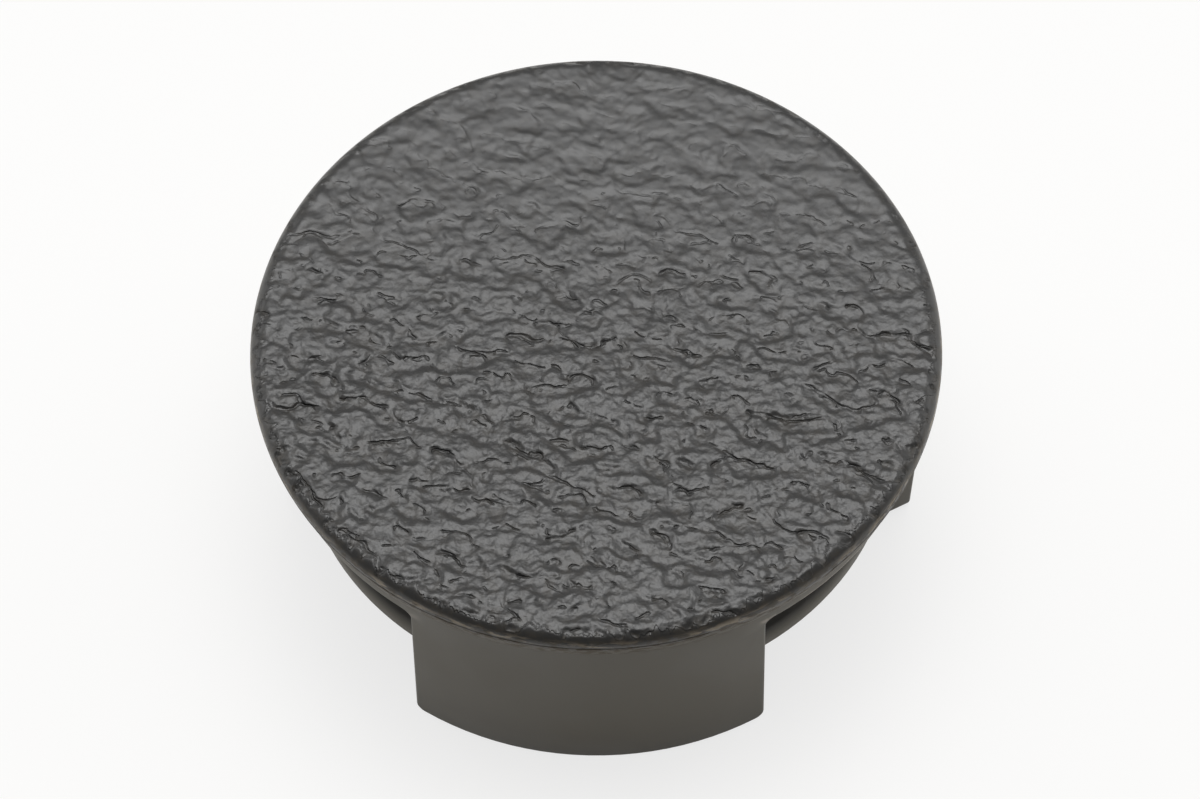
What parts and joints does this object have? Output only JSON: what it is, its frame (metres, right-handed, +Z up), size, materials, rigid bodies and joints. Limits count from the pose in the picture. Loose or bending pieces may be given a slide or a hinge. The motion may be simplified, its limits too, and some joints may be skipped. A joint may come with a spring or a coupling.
{
  "type": "step cover cap",
  "caption": "Round moulded plastic plug: a leather-grained cover with a rounded rim, and below it a recessed ring and wide tapered legs that press into a round hole.",
  "frame": {"origin": "under the centre of the cover, on the plane of the legs' feet", "axes": "+Z up through the show face; one leg is centred on -Y"},
  "size_m": [0.035, 0.035, 0.0141],
  "materials": {
    "black_plastic": "moulded black plastic: leather grain with a soft gloss on the show face, smooth satin on the rim, the legs and inside"
  },
  "bodies": {
    "root": {"cap": "black_plastic"}
  },
  "joints": []
}
